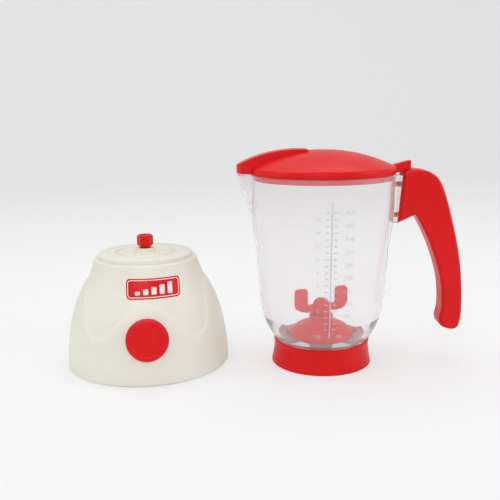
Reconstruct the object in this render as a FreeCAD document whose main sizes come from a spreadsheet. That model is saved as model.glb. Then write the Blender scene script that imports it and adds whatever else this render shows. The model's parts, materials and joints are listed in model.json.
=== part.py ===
import FreeCAD, Part
import Sketcher

import math
import operator
import os

from FreeCAD import Placement, Rotation, Vector

# A toy blender: a battery base with a push button, and a clear jug with a red lid, handle,
# collar and blade set, standing beside it. The frame's origin is on the base's drive axis at
# the table, with Z up and the base's front at -Y. Sizes are in millimetres.

doc = FreeCAD.newDocument("toy_blender")

# Driving sizes

SIZES = [
    ("foot_gap", 1.0, "gap under the housing's edge"),
    ("base_radius", 65.0, "foot of the housing"),
    ("panel_depth", 1.1, "depth of the sunk panels"),
    ("housing_wall", 2.0, "wall of the housing"),
    ("waist_radius", 61.3, "raised skin at the waist height"),
    ("waist_height", 36.0, "height of the waist"),
    ("brow_radius", 48.6, "raised skin at the brow height"),
    ("brow_height", 68.3, "height of the brow"),
    ("shoulder_radius", 41.2, "ledge that carries the jug"),
    ("shoulder_height", 86.3, "height of the ledge"),
    ("step_radius", 37.6, "round step that centres the jug"),
    ("step_height", 4.0, "height of the step above the ledge"),
    ("disc_radius", 21.0, "raised disc on the base's top"),
    ("groove_radius", 24.5, "outer edge of the groove round the disc"),
    ("groove_depth", 1.3, "depth of that groove"),
    ("wave_half", 47.0, "half width of the sunk panel"),
    ("wave_low", 32.6, "lowest edge of the sunk panel"),
    ("wave_top", 57.5, "top of the hump over the button"),
    ("wave_lobe", 9.35, "radius of the panel's lower corners"),
    ("wave_hump", 20.2, "radius of the hump"),
    ("wave_slope", 44.0, "slope between hump and corners in degrees"),
    ("button_height", 35.1, "button centre on the wall"),
    ("button_reach", 61.3, "button centre from the axis"),
    ("button_tilt", 12.0, "button axis above level in degrees"),
    ("button_radius", 15.6, "button cap"),
    ("button_gap", 0.4, "gap round the cap"),
    ("button_proud", 3.6, "cap above the wall"),
    ("button_flange", 17.4, "flange that keeps the cap in"),
    ("button_guide", 6.6, "depth of the guide tube"),
    ("bottom_radius", 63.4, "bottom cover"),
    ("bottom_skin", 2.0, "floor of the bottom cover"),
    ("boss_circle", 51.0, "circle of the cover's screws"),
    ("boss_radius", 3.4, "screw posts"),
    ("screw_radius", 1.3, "self-tapping screws"),
    ("head_radius", 2.7, "their heads"),
    ("door_head_radius", 2.4, "head of the battery door's screw"),
    ("cell_radius", 7.1, "battery"),
    ("cell_length", 50.0, "battery"),
    ("cell_pitch", 15.2, "between the two batteries"),
    ("tray_place", 24.0, "battery tray behind the axis"),
    ("tray_length", 58.0, "inside of the battery tray"),
    ("tray_width", 31.0, "inside of the battery tray"),
    ("tray_height", 19.0, "top of the battery tray"),
    ("tray_wall", 1.5, "its wall"),
    ("contact_sheet", 0.4, "thickness of the contact plates"),
    ("contact_height", 9.0, "their height"),
    ("shaft_radius", 2.0, "drive shafts"),
    ("shaft_fit", 0.05, "running gap of the shafts"),
    ("bush_radius", 4.5, "bushes"),
    ("plate_height", 60.0, "motor plate"),
    ("plate_skin", 2.4, "motor plate"),
    ("post_circle", 27.0, "circle of the posts of the motor plate"),
    ("motor_place", 18.0, "centre distance of the gears"),
    ("motor_radius", 10.05, "motor can"),
    ("motor_flat", 15.1, "motor can across its flats"),
    ("motor_length", 25.0, "motor can"),
    ("gear_teeth", 36, "drive gear"),
    ("pinion_teeth", 12, "motor pinion"),
    ("gear_module", 0.75, "gear tooth size"),
    ("gear_height", 66.0, "underside of the gear"),
    ("gear_face", 5.0, "width of the gear"),
    ("coupling_flats", 11.2, "drive coupling across its flats"),
    ("coupling_foot", 95.2, "underside of the coupling's head"),
    ("coupling_top", 103.9, "top of the coupling"),
    ("jug_x", 139.5, "jug axis"),
    ("jug_y", -25.6, "jug axis"),
    ("jug_turn", -7.5, "handle's direction from X in degrees"),
    ("jug_wall", 1.7, "wall of the jug"),
    ("rim_height", 151.6, "rim of the jug"),
    ("rim_radius", 56.4, "rim of the jug"),
    ("neck_radius", 36.7, "neck inside the collar"),
    ("floor_height", 21.6, "inside floor of the jug"),
    ("floor_skin", 1.8, "floor of the jug"),
    ("spout_reach", 66.4, "tip of the spout"),
    ("spout_half", 10.6, "half width of the spout at the rim"),
    ("spout_foot", 115.0, "where the spout runs out"),
    ("rail_half", 7.0, "half width of the handle rail"),
    ("rail_foot", 113.2, "foot of the rail"),
    ("rail_top", 150.0, "top of the rail"),
    ("collar_radius", 40.0, "foot of the collar"),
    ("collar_waist", 37.9, "waist of the collar"),
    ("collar_lip", 38.3, "top of the collar"),
    ("collar_height", 20.0, "collar"),
    ("socket_radius", 38.0, "socket in the collar's foot"),
    ("socket_depth", 4.6, "socket in the collar's foot"),
    ("dome_radius", 26.0, "blade dome"),
    ("dome_neck", 9.6, "neck of the dome"),
    ("dome_top", 38.6, "top of the neck"),
    ("rotor_foot", 39.4, "underside of the blade hub"),
    ("rotor_top", 51.6, "top of the blade hub"),
    ("rotor_hub", 6.6, "blade hub"),
    ("rotor_turn", 18.0, "turn of the blades in degrees"),
    ("wing_near", 12.0, "inner edge of the raised blades"),
    ("wing_far", 23.0, "outer edge of the raised blades"),
    ("wing_skin", 2.4, "thickness of the blades"),
    ("handle_half", 10.0, "half of the handle's thickness"),
    ("handle_wall", 2.0, "wall of the handle"),
    ("handle_round", 3.0, "rounding of the handle's edges"),
    ("lid_radius", 57.0, "lid"),
    ("lid_foot", 152.0, "underside of the lid"),
    ("lid_band", 157.5, "top of the lid's band"),
    ("lid_crown", 170.4, "top of the lid"),
    ("lid_wall", 1.8, "wall of the lid"),
    ("plug_radius", 53.9, "ring inside the jug's mouth"),
    ("plug_depth", 4.6, "depth of that ring"),
    ("tongue_half", 11.8, "half width of the lid's tongue"),
    ("tongue_reach", 67.0, "tip of the tongue"),
    ("tab_half", 4.3, "half width of the lid's tab"),
    ("tab_near", 54.0, "inner end of the tab"),
    ("tab_far", 68.0, "outer end of the tab"),
    ("notch_gap", 0.6, "gap round the tab"),
]

sheet = doc.addObject("Spreadsheet::Sheet", "sizes")
for row, (alias, number, meaning) in enumerate(SIZES, start=1):
    sheet.set(f"A{row}", alias)
    sheet.set(f"B{row}", str(number))
    sheet.set(f"C{row}", meaning)
    sheet.setAlias(f"B{row}", alias)
doc.recompute()


# Sizes that keep their formula

class Size:
    """A number together with the sheet formula that gives it."""

    def __init__(self, number, formula):
        self.number = float(number)
        self.formula = formula

    def __float__(self):
        return self.number

    def __add__(self, other):
        return joined(self, "+", other, operator.add)

    def __radd__(self, other):
        return joined(other, "+", self, operator.add)

    def __sub__(self, other):
        return joined(self, "-", other, operator.sub)

    def __rsub__(self, other):
        return joined(other, "-", self, operator.sub)

    def __mul__(self, other):
        return joined(self, "*", other, operator.mul)

    def __rmul__(self, other):
        return joined(other, "*", self, operator.mul)

    def __truediv__(self, other):
        return joined(self, "/", other, operator.truediv)

    def __neg__(self):
        return joined(0, "-", self, operator.sub)


def as_size(value):
    return value if isinstance(value, Size) else Size(value, repr(float(value)))


def joined(left, sign, right, work):
    left, right = as_size(left), as_size(right)
    return Size(work(left.number, right.number), f"({left.formula} {sign} {right.formula})")


def size(alias):
    return Size(getattr(sheet, alias), f"sizes.{alias}")


def bind(feature, name, value):
    """Set a property and, where the value has a formula, keep it bound to the sheet."""
    if isinstance(value, Size):
        feature.setExpression(name, value.formula)
    else:
        setattr(feature, name, value)


def place(feature, at=(0, 0, 0), axis=(0, 0, 1)):
    """Stand a feature's Z on axis, with its origin at the point."""
    point = Vector(*[float(value) for value in at])
    feature.Placement = Placement(point, Rotation(Vector(0, 0, 1), Vector(*axis)))
    for name, value in zip("xyz", at):
        if isinstance(value, Size):
            feature.setExpression(f"Placement.Base.{name}", value.formula)
    return feature


# Bodies, sketches and features

def new_body(label):
    body = doc.addObject("PartDesign::Body", label)
    body.Label = label
    return body


def new_sketch(body, role, offset=0.0):
    """A sketch on one of the body's own origin planes, raised by an offset."""
    sketch = body.newObject("Sketcher::SketchObject", "sketch")
    plane = [item for item in body.Origin.OriginFeatures if item.Role == role][0]
    sketch.AttachmentSupport = (plane, [""])
    sketch.MapMode = "FlatFace"
    if isinstance(offset, Size):
        sketch.setExpression("AttachmentOffset.Base.z", offset.formula)
    else:
        sketch.AttachmentOffset = Placement(Vector(0, 0, offset), Rotation())
    return sketch


def arc_of_sketch(start, middle, end):
    """An anticlockwise arc through three points, and which of its ends is the start."""
    circle = Part.Circle(start, middle, end)
    centre = circle.Center
    first = math.atan2(start.y - centre.y, start.x - centre.x)
    last = math.atan2(end.y - centre.y, end.x - centre.x)
    turn = (middle - start).cross(end - middle).z
    full = Part.Circle(centre, Vector(0, 0, 1), circle.Radius)
    if turn > 0:
        return Part.ArcOfCircle(full, first, last), 1, 2
    return Part.ArcOfCircle(full, last, first), 2, 1


def pin_down(constraints, formulas, edge, end, point):
    """Hold one end of an edge at its two coordinates."""
    for value, name, axis in ((point[0], "DistanceX", -2), (point[1], "DistanceY", -1)):
        if abs(float(value)) < 1e-9:
            constraints.append(Sketcher.Constraint("PointOnObject", edge, end, axis))
            continue
        if isinstance(value, Size):
            formulas[len(constraints)] = value.formula
        constraints.append(Sketcher.Constraint(name, -1, 1, edge, end, float(value)))


def flat(point):
    return Vector(float(point[0]), float(point[1]), 0)


def outline(body, points, role="XZ_Plane", offset=0.0):
    """A closed sketch of corners in order, with an arc where a "via" point comes between."""
    sketch = new_sketch(body, role, offset)
    corners = [point for point in points if point[0] != "via"]
    middles = {}
    passed = -1
    for point in points:
        if point[0] == "via":
            middles[passed] = point[1:]
        else:
            passed += 1
    edges, ends = [], []
    for index, corner in enumerate(corners):
        start, end = flat(corner), flat(corners[(index + 1) % len(corners)])
        if index in middles:
            edge, first, last = arc_of_sketch(start, flat(middles[index]), end)
        else:
            edge, first, last = Part.LineSegment(start, end), 1, 2
        edges.append(edge)
        ends.append((first, last))
    sketch.addGeometry(edges, False)
    constraints, formulas = [], {}
    for index, corner in enumerate(corners):
        following = (index + 1) % len(corners)
        meet = (index, ends[index][1], following, ends[following][0])
        constraints.append(Sketcher.Constraint("Coincident", *meet))
        pin_down(constraints, formulas, index, ends[index][0], corner)
        if index in middles:
            constraints.append(Sketcher.Constraint("Radius", index, edges[index].Radius))
    sketch.addConstraint(constraints)
    for index, formula in formulas.items():
        sketch.setExpression(f"Constraints[{index}]", formula)
    return sketch


def circle_sketch(body, radius, centres, offset=0.0, role="XY_Plane"):
    """Equal circles at the given centres."""
    sketch = new_sketch(body, role, offset)
    for index, centre in enumerate(centres):
        circle = Part.Circle(flat(centre), Vector(0, 0, 1), float(radius))
        sketch.addGeometry(circle, False)
        constraints, formulas = [], {}
        pin_down(constraints, formulas, index, 3, centre)
        if isinstance(radius, Size):
            formulas[len(constraints)] = radius.formula
        constraints.append(Sketcher.Constraint("Radius", index, float(radius)))
        first = sketch.ConstraintCount
        sketch.addConstraint(constraints)
        for place_in_list, formula in formulas.items():
            sketch.setExpression(f"Constraints[{first + place_in_list}]", formula)
    return sketch


def revolved(label, points):
    """A body turned about Z from an outline in X and Z."""
    body = new_body(label)
    feature = body.newObject("PartDesign::Revolution", "turned")
    sketch = outline(body, points)
    feature.Profile = sketch
    feature.ReferenceAxis = (sketch, ["V_Axis"])
    feature.Angle = 360
    body.Tip = feature
    return body


def padded(label, points, height, role="XY_Plane", offset=0.0, both_ways=False):
    """A body pushed out from an outline."""
    body = new_body(label)
    sketch = outline(body, points, role, offset)
    feature = body.newObject("PartDesign::Pad", "pad")
    feature.Profile = sketch
    feature.SideType = "Symmetric" if both_ways else "One side"
    bind(feature, "Length", height)
    return body


def bore(body, radius, centres, offset, depth):
    """Pocket round holes downwards from a level of the body."""
    sketch = circle_sketch(body, radius, centres, offset)
    feature = body.newObject("PartDesign::Pocket", "bore")
    feature.Profile = sketch
    bind(feature, "Length", depth)
    return feature


def cylinder(label, radius, height, at=(0, 0, 0), axis=(0, 0, 1)):
    solid = doc.addObject("Part::Cylinder", label)
    bind(solid, "Radius", radius)
    bind(solid, "Height", height)
    return place(solid, at, axis)


def box(label, lengths, corner):
    solid = doc.addObject("Part::Box", label)
    for name, value in zip(("Length", "Width", "Height"), lengths):
        bind(solid, name, value)
    return place(solid, corner)


def fuse(label, *solids):
    feature = doc.addObject("Part::MultiFuse", label)
    feature.Shapes = list(solids)
    return feature


def cut(label, base, *tools):
    feature = doc.addObject("Part::Cut", label)
    feature.Base = base
    feature.Tool = tools[0] if len(tools) == 1 else fuse(f"{label}_tools", *tools)
    return feature


def common(label, first, second):
    feature = doc.addObject("Part::Common", label)
    feature.Base = first
    feature.Tool = second
    return feature


def formed(label, shape):
    """A piece whose shape is worked out by its own formula."""
    feature = doc.addObject("Part::Feature", label)
    feature.Shape = shape
    return feature


def around(count, radius, start=0.0):
    """Points evenly round the axis."""
    angles = [math.radians(start + 360.0 * index / count) for index in range(count)]
    return [(float(radius) * math.cos(angle), float(radius) * math.sin(angle)) for angle in angles]


def prism(points, height, base=0.0, normal=(0, 0, 1)):
    """A straight prism over corner points given in three coordinates or in X and Y."""
    corners = [Vector(*point) if len(point) == 3 else Vector(point[0], point[1], base)
               for point in points]
    face = Part.Face(Part.makePolygon(corners + corners[:1]))
    return face.extrude(Vector(*normal) * float(height))


def coil(radius, wire, height, turns):
    """A round-wire coil spring along Z."""
    path = Part.makeHelix(float(height) / turns, float(height), float(radius))
    section = Part.Wire(Part.makeCircle(float(wire), Vector(float(radius), 0, 0), Vector(0, 1, 0)))
    return Part.Wire(path).makePipeShell([section], True, True)


PRESSURE_ANGLE = 20.0
ADDENDUM = 0.8
DEDENDUM = 1.05
BACKLASH = 0.16


def gear(teeth, module, face, bore_radius, first_tooth):
    """A spur gear with involute flanks; first_tooth is the angle of one tooth's middle."""
    pitch = module * teeth / 2
    base = pitch * math.cos(math.radians(PRESSURE_ANGLE))
    tip = pitch + ADDENDUM * module
    root = pitch - DEDENDUM * module
    start = max(base, root)

    def half_width(radius):
        """Angle from a tooth's middle to its flank at a radius."""
        pressure = math.acos(min(1.0, base / radius))
        lean = math.tan(pressure) - pressure
        at_pitch = math.radians(PRESSURE_ANGLE)
        lean_at_pitch = math.tan(at_pitch) - at_pitch
        thickness = math.pi * module / 2 - BACKLASH
        return thickness / (2 * pitch) + lean_at_pitch - lean

    def at(radius, angle):
        return Vector(radius * math.cos(angle), radius * math.sin(angle), 0)

    edges = []
    step = 2 * math.pi / teeth
    radii = [start, (start + pitch) / 2, pitch, tip]
    for tooth in range(teeth):
        middle = math.radians(first_tooth) + tooth * step
        rising = [at(radius, middle - half_width(radius)) for radius in radii]
        falling = [at(radius, middle + half_width(radius)) for radius in reversed(radii)]
        foot_before = at(root, middle - half_width(start))
        foot_after = at(root, middle + half_width(start))
        foot_next = at(root, middle + step - half_width(start))
        if start > root:
            edges.append(Part.makeLine(foot_before, rising[0]))
        flank = Part.BSplineCurve()
        flank.interpolate(rising)
        edges.append(flank.toShape())
        edges.append(Part.Arc(rising[-1], at(tip, middle), falling[0]).toShape())
        flank = Part.BSplineCurve()
        flank.interpolate(falling)
        edges.append(flank.toShape())
        if start > root:
            edges.append(Part.makeLine(falling[-1], foot_after))
        valley = at(root, middle + step / 2)
        edges.append(Part.Arc(foot_after, valley, foot_next).toShape())
    wheel = Part.Face(Part.Wire(edges)).extrude(Vector(0, 0, face))
    return wheel.cut(Part.makeCylinder(bore_radius, 3 * face, Vector(0, 0, -face)))


nodes = {}


def keep(label, feature):
    """Name a finished sub-part."""
    feature.Label = label
    nodes[label] = feature
    return feature


# Base housing

def skin(inset, foot):
    """The bulging side from foot to brow, moved inwards by inset."""
    return [
        (size("base_radius") - inset, foot),
        ("via", 63.9 - float(inset), 21.0),
        (size("waist_radius") - inset, size("waist_height")),
        ("via", 57.0 - float(inset), 50.6),
        (size("brow_radius") - inset, size("brow_height")),
    ]


def wave_outline():
    """The sunk panel seen from the front: a hump over the button between two round corners."""
    half, low = float(size("wave_half")), float(size("wave_low"))
    lobe, hump, top = float(size("wave_lobe")), float(size("wave_hump")), float(size("wave_top"))
    slope = math.radians(float(size("wave_slope")))
    corner = (half - lobe, low + lobe)
    hump_end = (hump * math.sin(slope), top - hump * (1 - math.cos(slope)))
    lobe_end = (corner[0] - lobe * math.sin(slope), corner[1] - lobe * math.cos(slope))
    right = [(half + 1.4, 80.0), (half, corner[1]), ("via", corner[0], low), lobe_end, hump_end]
    left = [(-hump_end[0], hump_end[1]), (-lobe_end[0], lobe_end[1]), ("via", -corner[0], low),
            (-half, corner[1]), (-half - 1.4, 80.0)]
    return right + [("via", 0.0, top)] + left


def button_point(along):
    """A point on the button's axis, along its outward direction from the wall."""
    tilt = math.radians(float(size("button_tilt")))
    reach, height = float(size("button_reach")), float(size("button_height"))
    return (0.0, -reach - along * math.cos(tilt), height + along * math.sin(tilt))


def button_axis():
    tilt = math.radians(float(size("button_tilt")))
    return (0.0, -math.cos(tilt), math.sin(tilt))


def on_button_axis(label, radius, inner_end, outer_end):
    return cylinder(label, radius, outer_end - inner_end, button_point(inner_end), button_axis())


def base_housing():
    step_top = size("shoulder_height") + size("step_height")
    raised = revolved("raised_skin", [(0, size("foot_gap"))] + skin(0, size("foot_gap"))
                      + [(44.0, 71.0), (0, 71.0)])
    wave = padded("wave", wave_outline(), 150.0, "XZ_Plane", 0.0, True)
    shoulder, ledge = size("shoulder_radius"), size("shoulder_height")
    step, groove, disc = size("step_radius"), size("groove_radius"), size("disc_radius")
    valley = step_top - size("groove_depth")
    sunk = revolved("sunk_skin", [(0, size("foot_gap"))] + skin(size("panel_depth"), size("foot_gap")) + [
        ("via", 44.2, 76.0), (shoulder, ledge - 0.8), ("via", 40.96, 86.06), (shoulder - 0.8, ledge),
        (step + 0.5, ledge), (step, ledge + 0.5), (step, step_top - 0.9), ("via", 37.34, 90.04),
        (step - 0.9, step_top), (groove, step_top), (groove - 0.9, valley), (disc + 0.6, valley),
        (disc, step_top), (disc - 0.6, step_top + 0.4), (8.2, step_top + 0.4), (7.4, step_top + 2.8),
        (6.8, step_top + 3.2), (0, step_top + 3.2)])
    form = fuse("housing_form", sunk, cut("raised_band", raised, wave))
    inset = size("panel_depth") + size("housing_wall")
    roof = step_top - size("housing_wall")
    hollow = revolved("housing_hollow", [(0, -1.0)] + skin(inset, -1.0) + [
        ("via", 42.2, 75.6), (shoulder - 2.2, ledge - 2.3), (step - 2.2, ledge - 2.3),
        (step - 2.2, roof), (0, roof)])
    shell = cut("housing_shell", form, hollow)
    posts = [cylinder("cover_post", size("boss_radius"), 48.0, (*centre, 5.0))
             for centre in around(3, size("boss_circle"), 90.0)]
    plate_top = size("plate_height") + size("plate_skin")
    posts += [cylinder("plate_post", size("boss_radius"), 28.0, (*centre, plate_top))
              for centre in around(3, size("post_circle"), 30.0)]
    boss = cylinder("shaft_boss", size("bush_radius") + 2.2, 13.0, (0, 0, 77.0))
    guide = on_button_axis("button_guide_tube", size("button_flange") + 0.9,
                           -float(size("button_guide")), 3.0)
    inside = common("housing_fittings", fuse("fittings", *posts, boss, guide), form)
    bores = [cylinder("cover_screw_hole", size("screw_radius"), 14.0, (*centre, 4.9))
             for centre in around(3, size("boss_circle"), 90.0)]
    bores += [cylinder("plate_screw_hole", size("screw_radius"), 13.0, (*centre, plate_top - 0.1))
              for centre in around(3, size("post_circle"), 30.0)]
    bores.append(cylinder("shaft_hole", size("bush_radius"), 20.0, (0, 0, 75.0)))
    bores.append(on_button_axis("button_hole", size("button_radius") + size("button_gap"), -14.0, 9.0))
    keep("base_housing", cut("base_housing", fuse("fitted_shell", shell, inside), *bores))


# Bottom cover, battery tray and door

def base_bottom():
    skin_top, lip = size("bottom_skin"), size("base_radius") - 3.6
    plate = revolved("cover_plate", [
        (0, 0), (size("bottom_radius") - 0.6, 0), (size("bottom_radius"), 0.6),
        (size("bottom_radius"), size("foot_gap")), (lip, size("foot_gap")), (lip, 4.4),
        (lip - 1.6, 4.4), (lip - 1.6, skin_top), (0, skin_top)])
    length, width, wall = size("tray_length"), size("tray_width"), size("tray_wall")
    middle = size("tray_place")
    tray = box("tray_block", (length + 2 * wall, width + 2 * wall, size("tray_height")),
               (-(length / 2 + wall), middle - width / 2 - wall, 0))
    frame = box("door_frame", (length + 17, width + 9, 3.6),
                (-(length / 2 + 6), middle - width / 2 - 4.5, 0))
    door_post = cylinder("door_post", 3.6, 10.0, (length / 2 + 5.2, middle, 0))
    pillars = [cylinder("cover_pillar", 4.6, 5.0, (*centre, 0))
               for centre in around(3, size("boss_circle"), 90.0)]
    rest = box("switch_post", (11.0, 8.0, size("button_height") - 11.2), (-5.5, -47.0, 0))
    solid = fuse("cover_solid", plate, tray, frame, door_post, rest, *pillars)
    well = box("cell_well", (length, width, size("tray_height") - wall + 1),
               (-length / 2, middle - width / 2, -1))
    door_well = box("door_well", (length + 12.2, width + 4.4, 2.8),
                    (-(length / 2 + 3.1), middle - width / 2 - 2.2, -1))
    holes = []
    for centre in around(3, size("boss_circle"), 90.0):
        holes.append(cylinder("cover_screw_way", size("screw_radius") + 0.3, 8.0, (*centre, -1.0)))
        holes.append(cylinder("cover_head_way", size("head_radius") + 0.3, 3.4, (*centre, -1.0)))
    holes.append(cylinder("door_screw_hole", size("screw_radius"), 9.0,
                          (length / 2 + 5.2, middle, 0)))
    keep("base_bottom", cut("base_bottom", solid, well, door_well, *holes))


def battery_door():
    length, width, middle = size("tray_length"), size("tray_width"), size("tray_place")
    near, far = -(length / 2 + 2.9), length / 2 + 8.9
    side = width / 2 + 2.0
    body = padded("battery_door", [(near, middle - side), (far, middle - side),
                                   (far, middle + side), (near, middle + side)], 1.7)
    bore(body, size("screw_radius") + 0.2, [(length / 2 + 5.2, middle)], 1.7, 1.7)
    bore(body, size("door_head_radius") + 0.3, [(length / 2 + 5.2, middle)], 1.0, 1.0)
    grip = outline(body, [(-24.0, 20.0), (-18.0, 20.0), (-18.0, 28.0), (-24.0, 28.0)], "XY_Plane", 0.7)
    dent = body.newObject("PartDesign::Pocket", "finger_dent")
    dent.Profile = grip
    dent.Length = 0.7
    keep("battery_door", body)


def screw(label, centre, seat, up, shank):
    """A pan-head screw whose head rests at the height seat, with its shank going up or down."""
    turn = (0, 0, 1) if up else (0, 0, -1)
    head_base = seat - 1.9 if up else seat + 1.9
    head = cylinder(f"{label}_head", size("head_radius"), 1.9, (*centre, head_base), turn)
    stem = cylinder(f"{label}_stem", size("screw_radius"), shank, (*centre, seat), turn)
    return fuse(label, head, stem)


def base_screws():
    screws = [screw("cover_screw", centre, 2.4, True, 14.0)
              for centre in around(3, size("boss_circle"), 90.0)]
    keep("base_screws", fuse("base_screws", *screws))


def door_screw():
    at = (float(size("tray_length")) / 2 + 5.2, float(size("tray_place")))
    head = cylinder("door_screw_head", size("door_head_radius"), 0.7, (*at, 0.3))
    stem = cylinder("door_screw_stem", size("screw_radius"), 7.2, (*at, 0.9))
    keep("door_screw", fuse("door_screw", head, stem))


# Batteries and their contacts

CELL_SHIFT = 3.2
CELL_HEIGHT = 9.6


def cell_line(side):
    return float(size("tray_place")) + side * float(size("cell_pitch")) / 2


def batteries():
    for number, side in ((1, -1), (2, 1)):
        way = -side
        start = way * CELL_SHIFT - way * size("cell_length") / 2
        radius = size("cell_radius")
        body = revolved(f"battery_{number}", [
            (0, 0), (radius - 0.5, 0), (radius, 0.5), (radius, size("cell_length") - 1.8),
            (radius - 0.8, size("cell_length") - 1.1), (2.7, size("cell_length") - 1.1),
            (2.7, size("cell_length")), (0, size("cell_length"))])
        place(body, (start, cell_line(side), CELL_HEIGHT), (way, 0, 0))
        keep(f"battery_{number}", body)


def contacts():
    """Coil contacts for the flat ends, plates for the caps, and a bridge that joins two ends."""
    wall, middle = float(size("tray_length")) / 2, float(size("tray_place"))
    thick, tall = float(size("contact_sheet")), float(size("contact_height"))
    spring = coil(3.2, 0.5, 5.4, 3)
    spring.Placement = Placement(Vector(1.0 - wall, cell_line(-1), CELL_HEIGHT),
                                 Rotation(Vector(0, 0, 1), Vector(1, 0, 0)))
    keep("contact_spring_1", formed("contact_spring_1", spring))
    across = spring.copy()
    across.rotate(Vector(0, middle, 0), Vector(0, 0, 1), 180)
    keep("contact_spring_2", formed("contact_spring_2", across))
    low = CELL_HEIGHT - tall / 2
    plates = [Part.makeBox(thick, tall, tall, Vector(-wall, cell_line(side) - tall / 2, low))
              for side in (-1, 1)]
    bridge = Part.makeBox(thick, 24.0, tall, Vector(wall - thick, middle - 12.0, low))
    keep("contact_plates", formed("contact_plates", Part.makeCompound(plates + [bridge])))


# Motor, plate and bushes

MOTOR_NOSE = 3.05
MOTOR_SHAFT = 1.0


def motor_section():
    """Round with two flats, as small motors are."""
    radius, half = float(size("motor_radius")), float(size("motor_flat")) / 2
    rise = math.sqrt(radius ** 2 - half ** 2)
    middle = float(size("motor_place"))
    return [(half, middle - rise), (half, middle + rise), ("via", 0.0, middle + radius),
            (-half, middle + rise), (-half, middle - rise), ("via", 0.0, middle - radius)]


def motor():
    foot = size("plate_height") - size("motor_length")
    axis = [(0, size("motor_place"))]
    can = padded("motor_can", motor_section(), size("motor_length"), "XY_Plane", foot)
    nose = can.newObject("PartDesign::Pad", "nose")
    nose.Profile = circle_sketch(can, MOTOR_NOSE, axis, size("plate_height"))
    nose.Length = 1.6
    bore(can, MOTOR_SHAFT + 0.06, axis, 61.6, 30.0)
    keep("motor_can", can)
    cap = padded("motor_endcap", motor_section(), 2.6, "XY_Plane", foot - 2.6)
    for x in (-5.0, 3.8):
        terminal = cap.newObject("PartDesign::Pad", "terminal")
        terminal.Profile = outline(cap, [(x, 16.0), (x + 1.2, 16.0), (x + 1.2, 19.0), (x, 19.0)],
                                   "XY_Plane", foot - 2.6)
        terminal.Length = 3.0
        terminal.Reversed = True
    bore(cap, MOTOR_SHAFT + 0.06, axis, foot, 4.0)
    keep("motor_endcap", cap)


def motor_plate():
    """The plate under the gears, with cheeks that hold the motor."""
    level, skin_of_plate = size("plate_height"), size("plate_skin")
    plate = padded("motor_plate", [(-29, -26), (-8, -33), (8, -33), (29, -26), (29, 24), (20, 32),
                                   (-20, 32), (-29, 24)], skin_of_plate, "XY_Plane", level)
    for side in (-1, 1):
        inner, outer = side * (float(size("motor_flat")) / 2), side * 9.4
        cheek = plate.newObject("PartDesign::Pad", "cheek")
        cheek.Profile = outline(plate, [(inner, 10.0), (outer, 10.0), (outer, 26.0), (inner, 26.0)],
                                "XY_Plane", level)
        cheek.Length = 16.0
        cheek.Reversed = True
    top = float(level + skin_of_plate)
    bore(plate, MOTOR_NOSE, [(0, size("motor_place"))], top, 4.0)
    bore(plate, size("bush_radius"), [(0, 0)], top, 4.0)
    bore(plate, size("screw_radius") + 0.2, around(3, size("post_circle"), 30.0), top, 4.0)
    keep("motor_plate", plate)
    screws = [screw("plate_screw", centre, 60.0, True, 13.0)
              for centre in around(3, size("post_circle"), 30.0)]
    keep("plate_screws", fuse("plate_screws", *screws))


def bushes():
    hole = size("shaft_radius") + size("shaft_fit")
    outer = size("bush_radius")
    step_top = float(size("shoulder_height") + size("step_height"))
    keep("lower_bush", revolved("lower_bush", [(hole, 58.6), (outer, 58.6), (outer, 62.4),
                                               (3.4, 64.4), (hole, 64.4)]))
    keep("upper_bush", revolved("upper_bush", [(hole, 77.4), (outer, 77.4), (outer, step_top - 0.4),
                                               (3.2, step_top + 0.3), (hole, step_top + 0.3)]))


# Gears and shafts

def gear_train():
    module, face = float(size("gear_module")), float(size("gear_face"))
    teeth, few = int(float(size("gear_teeth"))), int(float(size("pinion_teeth")))
    bottom = float(size("gear_height"))
    shaft = float(size("shaft_radius"))
    wheel = gear(teeth, module, face, shaft, 90.0)
    hub = Part.makeCylinder(4.6, 8.0, Vector(0, 0, -1.2))
    hub = hub.cut(Part.makeCylinder(shaft, 20.0, Vector(0, 0, -5)))
    ring = Part.makeCylinder(10.6, 1.6).cut(Part.makeCylinder(4.6, 1.6))
    upper = ring.copy()
    upper.translate(Vector(0, 0, face - 1.6))
    wheel = wheel.cut(ring).cut(upper).fuse(hub)
    wheel.translate(Vector(0, 0, bottom))
    keep("drive_gear", formed("drive_gear", wheel.removeSplitter()))
    pinion = gear(few, module, face + 2.0, MOTOR_SHAFT, -90.0 + 180.0 / few)
    pinion.translate(Vector(0, float(size("motor_place")), bottom - 1.0))
    keep("motor_pinion", formed("motor_pinion", pinion))
    keep("motor_shaft", cylinder("motor_shaft", MOTOR_SHAFT, 38.0, (0, size("motor_place"), 36.0)))
    keep("output_shaft", revolved("output_shaft", [
        (0, 57.2), (1.6, 57.2), (shaft, 57.6), (shaft, 101.0), (0, 101.0)]))


def hexagon(flats):
    """Corner points of a hexagon by its size across flats."""
    return around(6, float(flats) / math.sqrt(3))


def drive_coupling():
    foot, top = float(size("coupling_foot")), float(size("coupling_top"))
    head = prism(hexagon(size("coupling_flats")), top - foot, foot)
    lathe = [(0, foot), (5.5, foot), (6.5, foot + 1.1), (6.5, top - 1.0), (5.4, top), (4.2, top),
             (3.6, top - 0.7), (0, top - 0.7)]
    turned = Part.Face(Part.makePolygon([Vector(r, 0, z) for r, z in lathe + lathe[:1]]))
    head = head.common(turned.revolve(Vector(), Vector(0, 0, 1), 360))
    neck = Part.makeCylinder(3.6, foot - 91.8 + 0.5, Vector(0, 0, 91.8))
    solid = head.fuse(neck).cut(Part.makeCylinder(float(size("shaft_radius")), 10.0, Vector(0, 0, 91.0)))
    keep("drive_coupling", formed("drive_coupling", solid.removeSplitter()))


# Push button and its switch

def on_button(feature):
    """Stand a piece made along Z on the button's axis, with Z pointing outwards."""
    tilt = float(size("button_tilt"))
    feature.Placement = Placement(Vector(*button_point(0.0)), Rotation(Vector(1, 0, 0), 90.0 - tilt))
    return feature


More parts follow.
